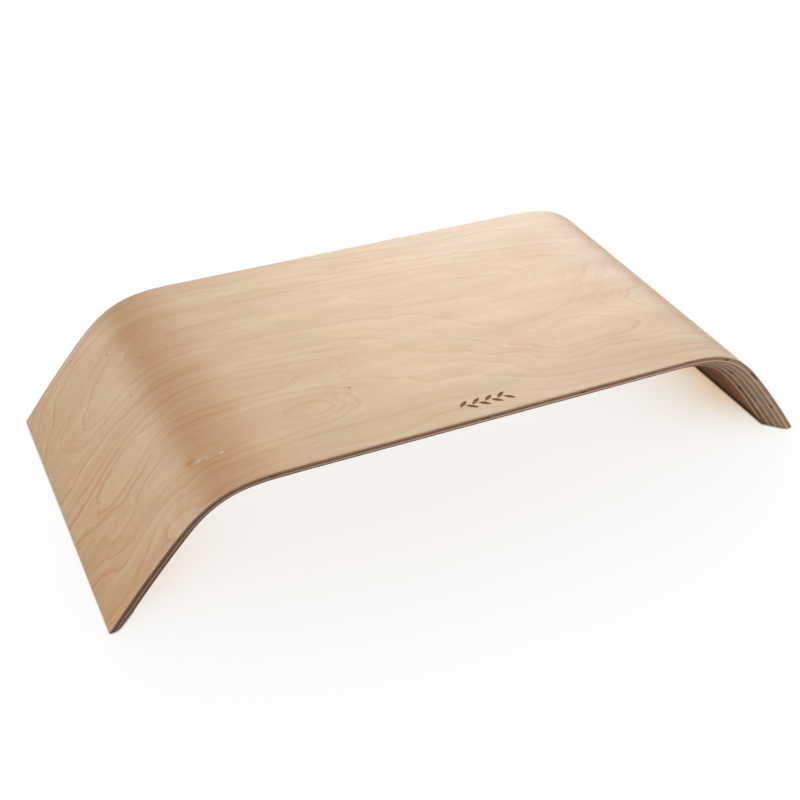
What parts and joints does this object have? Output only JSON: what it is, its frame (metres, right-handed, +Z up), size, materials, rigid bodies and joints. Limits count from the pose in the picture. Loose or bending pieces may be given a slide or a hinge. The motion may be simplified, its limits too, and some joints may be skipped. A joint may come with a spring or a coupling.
{
  "type": "monitor stand",
  "caption": "Bridge-shaped desk riser moulded from one birch plywood board: flat platform, wide bends, splayed legs cut level, undercut long edges, thin anti-slip pads.",
  "frame": {"origin": "centre of the footprint, on the desk surface under the pads", "axes": "+X along the stand, -Y towards the user (front edge), +Z up"},
  "size_m": [0.52, 0.234, 0.09],
  "materials": {
    "face_birch": "satin clear lacquer on rotary-cut birch, grain along X",
    "back_birch": "matt clear lacquer on rotary-cut birch, grain along X",
    "long_grain_birch": "sanded veneer edge, grain along X",
    "crossband_birch": "sanded veneer edge, grain across, end grain darkened by lacquer and glue",
    "pad_silicone": "translucent matt silicone"
  },
  "bodies": {
    "root": {"face_veneer": "face_birch", "crossband_02": "crossband_birch", "long_ply_03": "long_grain_birch", "crossband_04": "crossband_birch", "long_ply_05": "long_grain_birch", "crossband_06_core": "crossband_birch", "long_ply_07": "long_grain_birch", "crossband_08": "crossband_birch", "long_ply_09": "long_grain_birch", "crossband_10": "crossband_birch", "back_veneer": "back_birch", "front_left_pad": "pad_silicone", "front_right_pad": "pad_silicone", "rear_left_pad": "pad_silicone", "rear_right_pad": "pad_silicone"}
  },
  "joints": []
}
